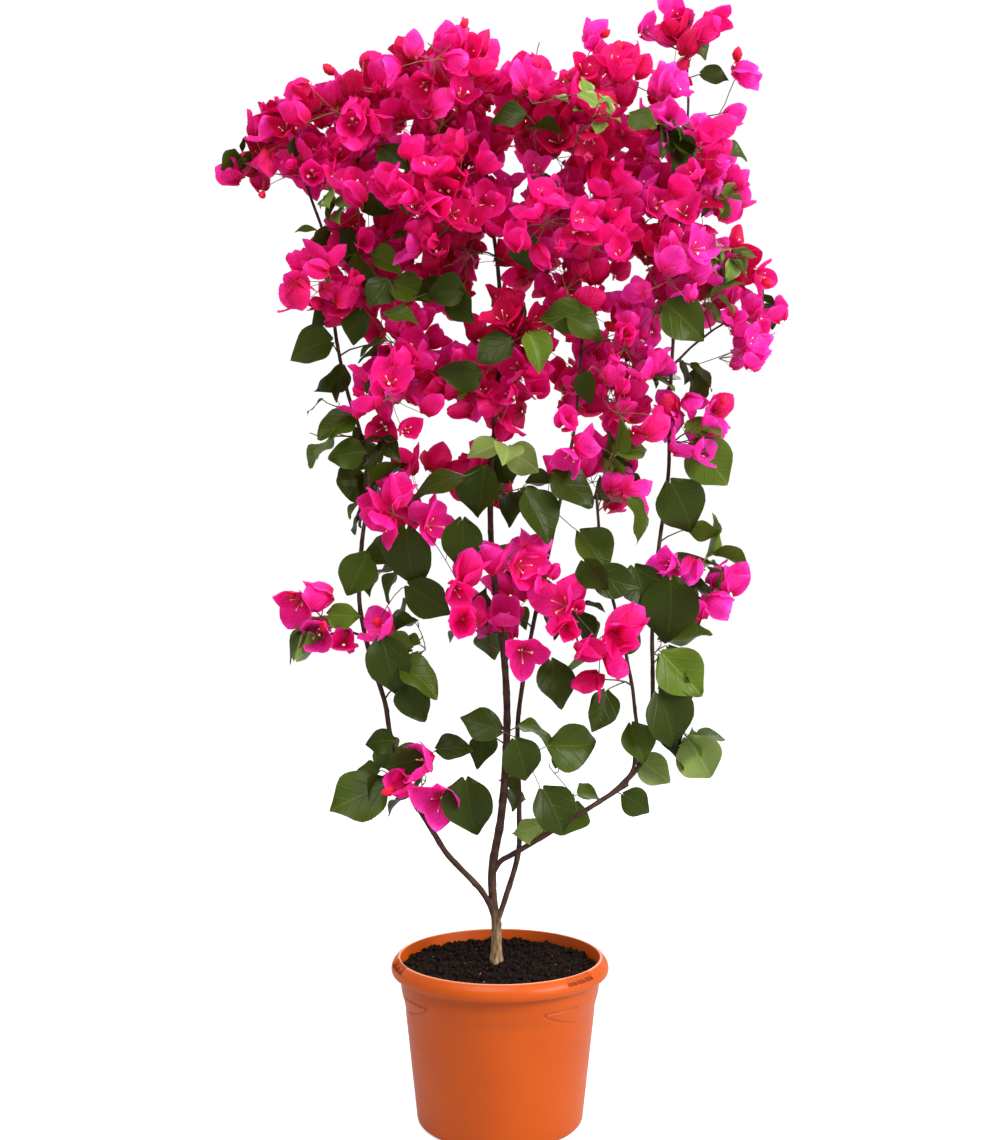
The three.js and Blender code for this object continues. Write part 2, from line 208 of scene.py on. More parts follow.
def swung(first, second, turn):
    """The way at an angle from the first vector towards the second."""
    return first * np.cos(turn) + second * np.sin(turn)


def smoothstep(low, high, x):
    t = np.clip((x - low) / (high - low), 0, 1)
    return t * t * (3 - 2 * t)


# ---- Gathering small meshes into one piece ----
class Heap:
    """Small triangle meshes of one kind, joined as one piece with one map."""

    def __init__(self):
        self.points, self.faces, self.maps, self.count = [], [], [], 0

    def add(self, points, faces, places):
        self.points.append(points)
        self.faces.append(faces + self.count)
        self.maps.append(places)
        self.count += len(points)

    def piece(self, name, material, slot):
        points, faces, places = map(np.concatenate, (self.points, self.faces, self.maps))
        mesh = bpy.data.meshes.new(name)
        mesh.vertices.add(len(points))
        mesh.vertices.foreach_set("co", points.astype(np.float32).ravel())
        mesh.loops.add(faces.size)
        mesh.loops.foreach_set("vertex_index", faces.astype(np.int32).ravel())
        mesh.polygons.add(len(faces))
        mesh.polygons.foreach_set("loop_start", np.arange(0, faces.size, 3, dtype=np.int32))
        corners = places[faces.ravel()].astype(np.float32)
        mesh.uv_layers.new(name="OFBake").data.foreach_set("uv", corners.ravel())
        mesh.polygons.foreach_set("use_smooth", np.ones(len(faces), dtype=bool))
        mesh.update(calc_edges=True)
        mesh.validate()
        mesh.materials.append(material)
        made = added(name, mesh)
        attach(made, "root")
        return made


def added(name, data):
    made = bpy.data.objects.new(name, data)
    bpy.context.scene.collection.objects.link(made)
    return made


def strip_faces(rows, columns):
    """Triangles of a grid of points, row by row."""
    row, column = np.meshgrid(np.arange(rows - 1), np.arange(columns - 1), indexing="ij")
    a = row * columns + column
    b, c, d = a + 1, a + columns, a + columns + 1
    return np.concatenate([np.stack([a, b, d], -1).reshape(-1, 3), np.stack([a, d, c], -1).reshape(-1, 3)])


def fan_faces(first, count, centre):
    """Triangles from a row of points, which starts at the first, to a centre point."""
    ks = first + np.arange(count)
    return np.stack([ks, ks + 1, np.full(count, centre)], -1)


def frames_along(path):
    """Two unit vectors across the path at each of its points, turning as little as they can."""
    tangents = np.gradient(path, axis=0)
    tangents /= np.maximum(np.linalg.norm(tangents, axis=1, keepdims=True), 1e-9)
    side = across(tangents[0])
    sides = []
    for tangent in tangents:
        side = unit(side - tangent * side.dot(tangent))
        sides.append(side)
    sides = np.array(sides)
    return sides, np.cross(tangents, sides)


def tube(path, radii, sides, relief=None, column=(0.0, 1.0)):
    """A tube along a path, closed at its tip, with an optional relief(around, along) as a share of the
    radius. The column is the part of the map's width that it takes."""
    path = np.asarray(path, float)
    radii = np.broadcast_to(radii, len(path))
    first, second = frames_along(path)
    turn = np.linspace(0, FULL_TURN, sides + 1)
    lengths = lengths_along(path)
    swell = np.ones((len(path), sides + 1))
    if relief is not None:
        swell += relief(turn[None, :], lengths[:, None])
        swell[:, -1] = swell[:, 0]
    ring = first[:, None] * np.cos(turn)[None, :, None] + second[:, None] * np.sin(turn)[None, :, None]
    points = path[:, None] + ring * (radii[:, None] * swell)[..., None]
    share = lengths / max(lengths[-1], 1e-9)
    places = np.stack(np.broadcast_arrays(
        column[0] + (column[1] - column[0]) * turn[None, :] / FULL_TURN, share[:, None]), -1)
    points, places = points.reshape(-1, 3), places.reshape(-1, 2)
    cap = fan_faces((len(path) - 1) * (sides + 1), sides, len(points))
    points = np.vstack([points, path[-1] + unit(path[-1] - path[-2]) * radii[-1] * 0.6])
    places = np.vstack([places, [sum(column) / 2, 1.0]])
    return points, np.vstack([strip_faces(len(path), sides + 1), cap]), places


# ---- Materials ----
class Shader:
    """A material whose nodes are added by plain calls."""

    def __init__(self, name):
        self.material = bpy.data.materials.new(name)
        self.material.use_nodes = True
        self.tree = self.material.node_tree
        self.surface = self.tree.nodes["Principled BSDF"]

    def feed(self, socket, value):
        """Links the socket to another node's output, or sets its own number, vector or colour."""
        if isinstance(value, bpy.types.NodeSocket):
            self.tree.links.new(value, socket)
        else:
            socket.default_value = (*value, 1) if socket.type == "RGBA" else value

    def node(self, kind, values=(), **settings):
        made = self.tree.nodes.new("ShaderNode" + kind)
        for key, value in settings.items():
            setattr(made, key, value)
        for key, value in dict(values).items():
            self.feed(made.inputs[key], value)
        return made

    def math(self, operation, a, b=0.0, c=0.0):
        return self.node("Math", {0: a, 1: b, 2: c}, operation=operation).outputs[0]

    def times(self, a, b):
        return self.math("MULTIPLY", a, b)

    def noise(self, vector, scale, detail=4.0, roughness=0.55):
        values = {"Vector": vector, "Scale": scale, "Detail": detail, "Roughness": roughness}
        return self.node("TexNoise", values).outputs["Fac"]

    def ramp(self, factor, *stops):
        made = self.node("ValToRGB", {"Fac": factor})
        elements = made.color_ramp.elements
        while len(elements) < len(stops):
            elements.new(0.5)
        for element, (place, colour) in zip(elements, stops):
            element.position = place
            element.color = (*colour, 1)
        return made.outputs["Color"]

    def mask(self, factor, start, end):
        """Black up to the start and white from the end."""
        return self.ramp(factor, (start, (0, 0, 0)), (end, (1, 1, 1)))

    def mix(self, factor, a, b):
        made = self.node("Mix", data_type="RGBA")
        values = {"Factor_Float": factor, "A_Color": a, "B_Color": b}
        for socket in made.inputs:
            if socket.identifier in values:
                self.feed(socket, values[socket.identifier])
        return next(s for s in made.outputs if s.identifier == "Result_Color")

    def graded(self, value, start, end, **to):
        """The value's range from start to end, carried over to 0 and 1 or to other ends."""
        values = {"Value": value, "From Min": start, "From Max": end}
        values.update({"To " + key.title(): end_value for key, end_value in to.items()})
        return self.node("MapRange", values).outputs[0]

    def here(self):
        """The place on the object, and its height."""
        where = self.node("TexCoord").outputs["Object"]
        return where, self.node("SeparateXYZ", {"Vector": where}).outputs["Z"]

    def squeezed(self, where, rise):
        """The place with its height scaled."""
        return self.node("Mapping", {"Vector": where, "Scale": (1.0, 1.0, rise)}).outputs["Vector"]

    def blade(self):
        """The map's two coordinates: across and along."""
        where = self.node("UVMap", uv_map="OFBake").outputs["UV"]
        split = self.node("SeparateXYZ", {"Vector": where})
        return split.outputs["X"], split.outputs["Y"]

    def bump(self, height, distance, strength):
        made = self.node("Bump", {"Height": height, "Distance": distance, "Strength": strength})
        self.feed(self.surface.inputs["Normal"], made.outputs["Normal"])
        return made.outputs["Normal"]

    def finish(self, colour, roughness, specular=0.5):
        values = {"Base Color": colour, "Roughness": roughness, "Specular IOR Level": specular}
        for key, value in values.items():
            self.feed(self.surface.inputs[key], value)
        return self.material

    def let_light_through(self, colour, share, normal):
        """Mixes in light from the far side, as in a thin leaf."""
        through = self.node("BsdfTranslucent", {"Color": colour, "Normal": normal})
        both = self.node("MixShader", {
            "Fac": share, 1: self.surface.outputs["BSDF"], 2: through.outputs["BSDF"]})
        self.feed(self.tree.nodes["Material Output"].inputs["Surface"], both.outputs[0])


def vein_pattern(shader, aside, along, slope, count, fineness):
    """How near a place on a blade is to its midrib and to its side veins, each from 0 to 1."""
    rib = shader.math("MAXIMUM", shader.math("SUBTRACT", 1.0, shader.times(aside, 30.0)), 0.0)
    climb = shader.math("MULTIPLY_ADD", aside, -slope, along)
    wave = shader.math("SINE", shader.times(climb, count * FULL_TURN))
    return rib, shader.math("POWER", shader.math("MAXIMUM", wave, 0.0), fineness)


def blade_distances(shader):
    """How far a place is from the blade's middle line, and how far along the blade."""
    x, y = shader.blade()
    return shader.math("ABSOLUTE", shader.math("SUBTRACT", x, 0.5)), y


def bract_material(index, base, edge, heart):
    """Thin papery bract: net of veins, with painted shade in the deep heart colour towards its foot and a
    painted highlight in the paler edge colour towards its tip and sides.
    """
    shader = Shader(f"bract_{index}")
    aside, along = blade_distances(shader)
    rib, veins = vein_pattern(shader, aside, along, slope=0.9, count=6.0, fineness=6.0)
    # painted shade at the bract's foot (heart colour) and a painted highlight at its tip (edge colour)
    body = shader.ramp(along, (0.0, heart), (0.32, base), (0.75, base), (1.0, edge))
    # painted highlight along the bract's sides, mixed towards the paler edge colour
    rim = shader.times(shader.math("POWER", shader.times(aside, 2.0), 4.0), 0.55)
    lines = shader.times(shader.math("MAXIMUM", rib, shader.times(veins, 0.5)), 0.30)
    colour = shader.mix(lines, shader.mix(rim, body, edge), heart)
    normal = shader.bump(shader.math("MAXIMUM", rib, veins), 1.0 * MILLIMETRE, 0.45)
    shader.let_light_through(colour, 0.42, normal)
    return shader.finish(colour, 0.50, 0.16)


def leaf_material(index, base, vein, edge):
    """Leaf with a pale midrib, faint side veins and a slightly different edge."""
    shader = Shader(f"leaf_{index}")
    young = index / (len(LEAF_TINTS) - 1)
    aside, along = blade_distances(shader)
    rib, veins = vein_pattern(shader, aside, along, slope=1.0, count=3.6, fineness=14.0)
    rim = shader.math("POWER", shader.times(aside, 2.0), 7.0)
    body = shader.mix(shader.times(rim, 0.6), base, edge)
    pale_rib, pale_veins = shader.times(rib, 0.24 + 0.3 * young), shader.times(veins, 0.03 + 0.06 * young)
    colour = shader.mix(shader.math("MAXIMUM", pale_rib, pale_veins), body, vein)
    normal = shader.bump(shader.math("MAXIMUM", rib, veins), 0.8 * MILLIMETRE, 0.4)
    shader.let_light_through(vein, 0.10, normal)
    return shader.finish(colour, 0.38, 0.12)


def stalk_material(name, foot, tip):
    shader = Shader(name)
    _, along = shader.blade()
    return shader.finish(shader.mix(along, foot, tip), 0.60, 0.15)


def floret_material():
    """Slender flower tube, rosy green at its foot and cream at its open end."""
    shader = Shader("floret")
    _, along = shader.blade()
    colour = shader.ramp(along, (0.0, (0.30, 0.10, 0.06)), (0.45, (0.62, 0.10, 0.14)),
                         (0.72, (0.80, 0.42, 0.34)), (0.84, (0.90, 0.84, 0.62)))
    return shader.finish(colour, 0.5)


def bark_material():
    """Brown bark with paler flecks; the old wood at the trunk's foot is tan and furrowed."""
    shader = Shader("bark")
    where, height = shader.here()
    young = shader.ramp(shader.noise(where, 90.0), (0.3, (0.020, 0.009, 0.007)),
                        (0.66, (0.075, 0.034, 0.022)))
    furrows = shader.noise(shader.squeezed(where, 0.22), 340.0, 5.0, 0.6)
    old = shader.ramp(furrows, (0.34, (0.07, 0.038, 0.018)), (0.5, (0.25, 0.155, 0.08)),
                      (0.68, (0.44, 0.32, 0.19)))
    age = shader.graded(height, SOIL_TOP + 0.022, SOIL_TOP + 0.060)
    flecks = shader.mask(shader.noise(where, 620.0, 2.0), 0.60, 0.68)
    young = shader.mix(shader.times(flecks, 0.22), young, (0.22, 0.13, 0.08))
    shader.bump(furrows, 0.8 * MILLIMETRE, 0.8)
    return shader.finish(shader.mix(age, old, young), 0.78, 0.2)


def pot_material():
    """Moulded orange plastic, faintly mottled, dusted with compost low down, with a pale painted highlight
    along the top edge of its rim and dark painted shade in the tag pockets in its rim."""
    shader = Shader("pot_plastic")
    where, height = shader.here()
    cloud = shader.ramp(shader.noise(where, 14.0, 3.0), (0.3, (0.420, 0.058, 0.001)),
                        (0.7, (0.458, 0.069, 0.001)))
    dust = shader.mask(shader.noise(where, 160.0, 6.0, 0.7), 0.62, 0.72)
    low = shader.graded(height, 0.0, 0.05, min=0.35, max=0.04)
    colour = shader.mix(shader.times(dust, low), cloud, (0.26, 0.07, 0.02))
    # painted highlight: the top edge of the rim is mixed towards pale pink, standing in for light falling
    # on it
    lip_highlight = shader.graded(height, POT_HEIGHT - 0.0012, POT_HEIGHT - 0.0002, max=0.60)
    colour = shader.mix(lip_highlight, colour, (0.86, 0.42, 0.27))
    # painted shade: the tag pockets' recess in the rim is mixed towards dark brown, standing in for the
    # shade inside them
    level = shader.node("VectorMath", {0: where, 1: (1.0, 1.0, 0.0)}, operation="MULTIPLY").outputs[0]
    reach = shader.node("VectorMath", {0: level}, operation="LENGTH").outputs["Value"]
    within = shader.math("COMPARE", reach, RIM_RADIUS - 0.0056, 0.0034)
    below = shader.math("COMPARE", height, POT_HEIGHT - 0.0096, 0.0034)
    colour = shader.mix(shader.times(shader.times(within, below), 0.80), colour, (0.16, 0.018, 0.004))
    scuffs = shader.noise(shader.squeezed(where, 7.0), 40.0)
    shader.bump(shader.noise(where, 900.0, 2.0), 0.1 * MILLIMETRE, 0.35)
    return shader.finish(colour, shader.graded(scuffs, 0.0, 1.0, min=0.30, max=0.46), 0.22)


def soil_material(name, dark, light):
    shader = Shader(name)
    grain = shader.noise(shader.node("TexCoord").outputs["Object"], 260.0, 6.0, 0.7)
    shader.bump(grain, 1.5 * MILLIMETRE, 0.9)
    return shader.finish(shader.ramp(grain, (0.35, dark), (0.68, light)), 0.95, 0.06)


BRACT_TINTS = [  # base, edge, heart: hot pink, deeper pink, light pink, magenta, dark crimson; the heart is painted shade, the edge a painted highlight, and dark crimson a shaded copy
    ((0.87, 0.010, 0.23), (0.95, 0.042, 0.50), (0.58, 0.004, 0.050)),
    ((0.76, 0.006, 0.14), (0.88, 0.020, 0.32), (0.46, 0.003, 0.025)),
    ((0.92, 0.020, 0.34), (0.97, 0.090, 0.66), (0.66, 0.006, 0.085)),
    ((0.92, 0.030, 0.44), (0.97, 0.120, 0.78), (0.66, 0.008, 0.125)),
    ((0.60, 0.003, 0.07), (0.74, 0.008, 0.16), (0.35, 0.001, 0.015)),
]
LEAF_TINTS = [  # base, vein, edge: dark, middling, light, young, young with a cream edge
    ((0.022, 0.034, 0.002), (0.070, 0.100, 0.012), (0.029, 0.044, 0.003)),
    ((0.036, 0.056, 0.003), (0.110, 0.150, 0.020), (0.050, 0.074, 0.005)),
    ((0.070, 0.112, 0.008), (0.180, 0.250, 0.045), (0.105, 0.155, 0.016)),
    ((0.150, 0.210, 0.045), (0.330, 0.400, 0.140), (0.240, 0.300, 0.090)),
    ((0.120, 0.190, 0.030), (0.360, 0.440, 0.160), (0.680, 0.680, 0.380)),
]
LEAF_TINT_SHARES = (0.46, 0.32, 0.15, 0.04, 0.03)


# ---- Pot ----
TAG_POCKETS = (47, -73, 167)  # degrees from the front, to the right
TAG_HALF_WIDTH = 0.0202
TAG_DEPTH = 0.0060
TAG_WALLS = (-0.0068, 0.0068)  # across each pocket, from its middle
GRIPS = ((37, 1), (-58, -1), (180, 1))  # degrees from the front, and the end that the grip falls to
GRIP_HALF_WIDTH = 0.026
GRIP_LINES = ((0.1452, 0.0, -0.0006), (0.1366, 0.0072, 0.0026))  # height, fall towards that end, sag
GROOVE_DEPTH = 0.0013
PIT_PLACE = (-0.93, 0.1440)  # a small pit at the higher end of each grip: share of the width, height
PIT_DEPTH = 0.0020
NOTCHES = 4
NOTCH_DEPTH = 0.0045
WALL_COLUMNS = 457
TAG_COLUMNS = 57


def rounded(corners, fillets, steps=4):
    """The polyline with each corner replaced by a curve that starts a fillet's length before it."""
    made = [corners[0]]
    for before, corner, after, fillet in zip(corners, corners[1:], corners[2:], fillets):
        corner, before, after = map(np.array, (corner, before, after))
        reach = min(fillet, np.linalg.norm(before - corner) * 0.45, np.linalg.norm(after - corner) * 0.45)
        start, end = corner + unit(before - corner) * reach, corner + unit(after - corner) * reach
        for t in np.linspace(0, 1, steps + 1):
            made.append(start * (1 - t) ** 2 + 2 * corner * t * (1 - t) + end * t**2)
    return np.array([*made, corners[-1]], float)


def pot_profile():
    """Radius and height round the wall's section, from the underside's centre to the floor's centre."""
    rim, top = RIM_RADIUS, POT_HEIGHT
    foot, body, collar, wall = rim - 0.029, rim - 0.0155, rim - 0.0105, 0.0028
    corners = [
        (0.0, 0.0), (foot - 0.014, 0.0), (foot - 0.004, 0.0), (foot, 0.004), (body - 0.001, 0.118),
        (body, 0.131), (collar - 0.0006, 0.146), (collar, top - 0.023), (collar + 0.001, top - 0.0185),
        (rim - 0.0050, top - 0.0185), (rim - 0.0012, top - 0.0170), (rim, top - 0.0125),
        (rim - 0.0014, top - 0.0068), (rim - 0.0060, top - 0.0016), (rim - 0.0088, top),
        (rim - 0.0102, top - 0.0008),
        (collar - wall, top - 0.020), (collar - wall - 0.001, 0.139), (body - wall, 0.131),
        (foot - wall, 0.012), (foot - 0.014, 0.0085), (0.0, 0.0085),
    ]
    fillets = [0.002, 0.003, 0.003, 0.010, 0.006, 0.006, 0.002, 0.002, 0.0015, 0.0015, 0.002, 0.003, 0.003,
               0.001, 0.0006, 0.002, 0.002, 0.002, 0.003, 0.002]
    return rounded(corners, fillets)


def turned_from(turn, heading):
    """How far each angle lies round from a heading in degrees from the front, within half a turn."""
    return np.radians((np.degrees(turn) + 90 - heading + 180) % 360 - 180)


def with_pockets(radius, height, turn):
    """The heights with a pocket sunk for each tag in the rim's top, and two low walls across each."""
    for heading in TAG_POCKETS:
        arc = turned_from(turn, heading) * RIM_RADIUS
        pocket = 1 - smoothstep(TAG_HALF_WIDTH - 0.0004, TAG_HALF_WIDTH + 0.0004, np.abs(arc))
        pocket = pocket * (height > POT_HEIGHT - 0.0085)
        pocket = pocket * smoothstep(RIM_RADIUS - 0.0088, RIM_RADIUS - 0.0080, radius)
        pocket = pocket * (1 - smoothstep(RIM_RADIUS - 0.0022, RIM_RADIUS - 0.0012, radius))
        walls = sum(1 - smoothstep(0.0008, 0.0016, np.abs(arc - aside)) for aside in TAG_WALLS)
        height = height - TAG_DEPTH * pocket * (1 - 0.6 * np.clip(walls, 0, 1))
    return height


def with_grips(radius, height, turn, outside):
    """The radii with two shallow grooves and a pit pressed into the collar for each grip."""
    wall = (radius > RIM_RADIUS - 0.034) & (height > 0.09) & (height < POT_HEIGHT - 0.0195) & outside
    for heading, hand in GRIPS:
        share = hand * turned_from(turn, heading) * RIM_RADIUS / GRIP_HALF_WIDTH
        for level, fall, sag in GRIP_LINES:
            line = level - fall * share - sag * (1 - share**2)
            groove = 1 - smoothstep(0.0005, 0.0015, np.abs(height - line))
            radius = radius - GROOVE_DEPTH * groove * (1 - smoothstep(0.9, 1.0, np.abs(share))) * wall
        pit = np.hypot((share - PIT_PLACE[0]) / 0.09, (height - PIT_PLACE[1]) / 0.0026)
        radius = radius - PIT_DEPTH * (1 - smoothstep(0.5, 1.0, pit)) * wall
    return radius


def with_notches(radius, height, turn, outside):
    """The heights with notches raised in the edge of the underside."""
    inner, deep, foot = RIM_RADIUS - 0.046, RIM_RADIUS - 0.038, RIM_RADIUS - 0.029
    for notch in range(NOTCHES):
        arc = turned_from(turn, 90 - notch * 360 / NOTCHES) * foot
        inside = (1 - smoothstep(0.0125, 0.0145, np.abs(arc))) * (height < 0.0055)
        inside = inside * (radius > inner) * outside
        height = np.maximum(height, NOTCH_DEPTH * inside * smoothstep(inner, deep, radius))
    return height


def pot_points(profile, turns, outer_rows):
    """The turned wall, with tag pockets in its rim, shallow grips on its collar and notches in its foot."""
    outside = np.arange(len(profile))[:, None] < outer_rows
    radius, height = (np.repeat(profile[:, k:k + 1], len(turns), 1) for k in (0, 1))
    turn = np.broadcast_to(turns, radius.shape)
    height = with_pockets(radius, height, turn)
    radius = with_grips(radius, height, turn, outside)
    height = with_notches(radius, height, turn, outside)
    return np.stack([radius * np.cos(turn), radius * np.sin(turn), height], -1)


def pot_turns():
    """Angles of the wall's columns, closer together at the tag pockets."""
    turns = np.linspace(0, FULL_TURN, WALL_COLUMNS)
    for heading in TAG_POCKETS:
        middle = math.radians(heading - 90) % FULL_TURN
        far = np.abs(turns - middle) >= 0.0230 / RIM_RADIUS
        close = middle + np.linspace(-0.0225, 0.0225, TAG_COLUMNS) / RIM_RADIUS
        turns = np.concatenate([turns[far], close])
    return np.sort(turns)


def refined(profile, fine, coarse):
    """The profile with extra points: close together, but far apart on the plain wall and underside."""
    made = [profile[0]]
    for a, b in zip(profile, profile[1:]):
        plain = b[0] < RIM_RADIUS - 0.042 or (a[1] < 0.01 and b[1] > 0.1)
        pieces = max(1, math.ceil(np.linalg.norm(b - a) / (coarse if plain else fine)))
        made += [a + (b - a) * k / pieces for k in range(1, pieces + 1)]
    return np.array(made)


def build_pot():
    profile = pot_profile()
    middle = int(np.argmax(profile[:, 1])) + 4
    outer = refined(profile[:middle], 0.0012, 0.006)
    profile = np.vstack([outer[1:], profile[middle:-1]])
    turns = pot_turns()
    points = pot_points(profile, turns, len(outer))
    rows, columns = points.shape[:2]
    share = lengths_along(profile)[:, None]
    places = np.stack(np.broadcast_arrays(turns[None] / FULL_TURN, share / share[-1]), -1)
    points, places = points.reshape(-1, 3), places.reshape(-1, 2)
    faces = [strip_faces(rows, columns)[:, ::-1]]
    for row, order, share in ((0, [1, 2, 0], 0.0), (rows - 1, [0, 2, 1], 1.0)):
        faces.append(fan_faces(row * columns, columns - 1, len(points))[:, order])
        points = np.vstack([points, [0, 0, points[row * columns][2]]])
        places = np.vstack([places, [0.5, share]])
    heap = Heap()
    heap.add(points, np.vstack(faces), places)
    pot = heap.piece("pot_moulding", pot_material(), "pot")
    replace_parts(pot, "pot")


# ---- Soil ----
WAVES = ((1.0, 0.6), (-0.7, 1.3), (1.9, 1.1), (-2.3, 1.7), (3.7, -2.9), (4.1, 5.3))
COMPOST_DARK = (0.0035, 0.002, 0.0016)
CRUMBS = 2600
FLECK_EVERY = 34  # crumbs


def roughness_at(points, scale, shift=0.0):
    """Layered waves that stand in for crumbly ground, as a height for each point."""
    x, y = points[..., 0] * scale, points[..., 1] * scale
    total = np.zeros(x.shape)
    for k, (fx, fy) in enumerate(WAVES):
        wave = np.sin(fx * x + fy * y + k * 1.7 + shift) * np.cos(fy * x - fx * y + k * 0.9)
        total += wave / (1 + 0.55 * k)
    return total


def soil_surface(points):
    """Height of the compost's surface at each point."""
    reach = SOIL_HIGH.x
    distance = np.linalg.norm(points[..., :2], axis=-1)
    mound = 0.0030 * (1 - smoothstep(0.015, reach, distance)) + 0.0022 * np.exp(-((distance / 0.012) ** 2))
    lumps = 0.0011 * roughness_at(points, 120) + 0.0006 * roughness_at(points, 420, 2.0)
    return SOIL_TOP - 0.0042 + mound + lumps


def build_soil(rng):
    rings, columns = 56, 161
    radius = np.linspace(0.0015, SOIL_HIGH.x, rings)[:, None]
    turn = np.linspace(0, FULL_TURN, columns)[None]
    points = np.zeros((rings + 1, columns, 3))
    points[:-1, :, 0], points[:-1, :, 1] = radius * np.cos(turn), radius * np.sin(turn)
    points[:-1, :, 2] = soil_surface(points[:-1])
    points[-1] = points[-2] * (0.95, 0.95, 0)
    points[-1, :, 2] = SOIL_LOW.z + 0.1
    points = np.vstack([points.reshape(-1, 3), up(soil_surface(np.zeros(3)))])
    fan = fan_faces(0, columns - 1, len(points) - 1)[:, ::-1]
    heap = Heap()
    faces = np.vstack([strip_faces(rings + 1, columns), fan])
    heap.add(points, faces, points[:, :2] / (2.2 * SOIL_HIGH.x) + 0.5)
    bed = heap.piece("compost_bed", soil_material("compost", COMPOST_DARK, (0.016, 0.009, 0.007)), "soil")
    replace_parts(bed, "soil")
    build_crumbs(rng)


def lump():
    """A faceted lump of unit size: an octahedron with each face split in four."""
    axes = np.array([(1, 0, 0), (-1, 0, 0), (0, 1, 0), (0, -1, 0), (0, 0, 1), (0, 0, -1)], float)
    faces = [(0, 2, 4), (2, 1, 4), (1, 3, 4), (3, 0, 4), (2, 0, 5), (1, 2, 5), (3, 1, 5), (0, 3, 5)]
    points, split, seen = list(axes), [], {}

    def middle(a, b):
        key = (min(a, b), max(a, b))
        if key not in seen:
            seen[key] = len(points)
            points.append(unit(points[a] + points[b]))
        return seen[key]

    for a, b, c in faces:
        ab, bc, ca = middle(a, b), middle(b, c), middle(c, a)
        split += [(a, ab, ca), (ab, b, bc), (ca, bc, c), (ab, bc, ca)]
    return np.array(points), np.array(split)


def random_turn(rng):
    """A random rotation matrix."""
    q, _ = np.linalg.qr(rng.normal(size=(3, 3)))
    return q * np.sign(np.linalg.det(q))


def build_crumbs(rng):
    """Loose crumbs of compost, with a few pale flecks among them."""
    points, faces = lump()
    crumbs, flecks = Heap(), Heap()
    for k in range(CRUMBS):
        pale = k % FLECK_EVERY == 0
        distance = SOIL_HIGH.x * math.sqrt(rng.uniform(0.01, 0.97))
        angle = rng.uniform(0, FULL_TURN)
        size = rng.uniform(0.0006, 0.0013) if pale else 0.0009 + 0.0028 * rng.uniform() ** 3
        shape = points * rng.uniform(0.65, 1.25, (len(points), 1)) * size * rng.uniform(0.6, 1.3, 3)
        where = np.array([math.cos(angle) * distance, math.sin(angle) * distance, 0.0])
        where[2] = soil_surface(where) + size * 0.35
        heap = flecks if pale else crumbs
        heap.add(shape @ random_turn(rng).T + where, faces, points[:, :2] * 0.45 + 0.5)
    crumbs.piece("compost_crumbs", soil_material("crumbs", COMPOST_DARK, (0.022, 0.012, 0.009)), "soil")
    flecks.piece("compost_flecks", soil_material("flecks", (0.10, 0.07, 0.05), (0.30, 0.24, 0.18)), "soil")


# ---- Limbs, read from the CAD solids ----
LIMB_STEP = 0.004


def middle_line(name, slices=14):
    """The middle points and radii of a limb's solid, from slices across its longest side."""
    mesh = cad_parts[name].data
    points = np.array([vertex.co for vertex in mesh.vertices], float)
    edges = np.array([edge.vertices for edge in mesh.edges])
    low, high = points.min(0), points.max(0)
    axis = int(np.argmax(high - low))
    others = [k for k in range(3) if k != axis]
    line, radii = [], []
    for share in np.linspace(0.03, 0.97, slices):
        level = low[axis] + (high[axis] - low[axis]) * share
        a, b = points[edges[:, 0]], points[edges[:, 1]]
        cut = (a[:, axis] - level) * (b[:, axis] - level) < 0
        a, b = a[cut], b[cut]
        t = (level - a[:, axis]) / (b[:, axis] - a[:, axis])
        ring = a + (b - a) * t[:, None]
        line.append((ring.min(0) + ring.max(0)) / 2)
        radii.append(min(np.ptp(ring[:, k]) for k in others) / 1.85)
    return np.array(line), np.array(radii)


def resampled(path, values, step):
    """A smooth path through the points, with a point every step, and the values carried along it."""
    lengths = lengths_along(path)
    count = max(3, int(lengths[-1] / step) + 1)
    at = np.linspace(0, lengths[-1], count)
    made = np.empty((count, 3))
    padded = np.vstack([2 * path[0] - path[1], path, 2 * path[-1] - path[-2]])
    for k, s in enumerate(at):
        i = min(np.searchsorted(lengths, s, side="right") - 1, len(path) - 2)
        t = (s - lengths[i]) / max(lengths[i + 1] - lengths[i], 1e-9)
        a, b, c, d = padded[i:i + 4]
        bend, twist = 2 * a - 5 * b + 4 * c - d, 3 * b - 3 * c + d - a
        made[k] = 0.5 * (2 * b + (c - a) * t + bend * t**2 + twist * t**3)
    return made, np.interp(at, lengths, values)


def read_limbs():
    """Every limb as a path from its foot, which starts on its parent's middle line, and its radii."""
    limbs = {}
    for name, parent in LIMB_PARENTS.items():
        line, radii = middle_line(name)
        if parent is None:
            foot = line[0] + (line[0] - line[1]) * 0.6
            foot[2] = SOIL_TOP - 0.004
        else:
            parent_line = limbs[parent][0]
            gaps = [sizes(parent_line - end) for end in (line[0], line[-1])]
            if gaps[1].min() < gaps[0].min():
                line, radii, gaps = line[::-1], radii[::-1], gaps[::-1]
            below = int((gaps[0].min() + 0.009) / LIMB_STEP)
            foot = parent_line[max(int(np.argmin(gaps[0])) - below, 0)]
        share = np.linspace(0, 1, len(radii))
        radii = np.polyval(np.polyfit(share, radii, 1), share)
        limbs[name] = resampled(np.vstack([foot, line]), np.concatenate([radii[:1], radii]), LIMB_STEP)
    return limbs


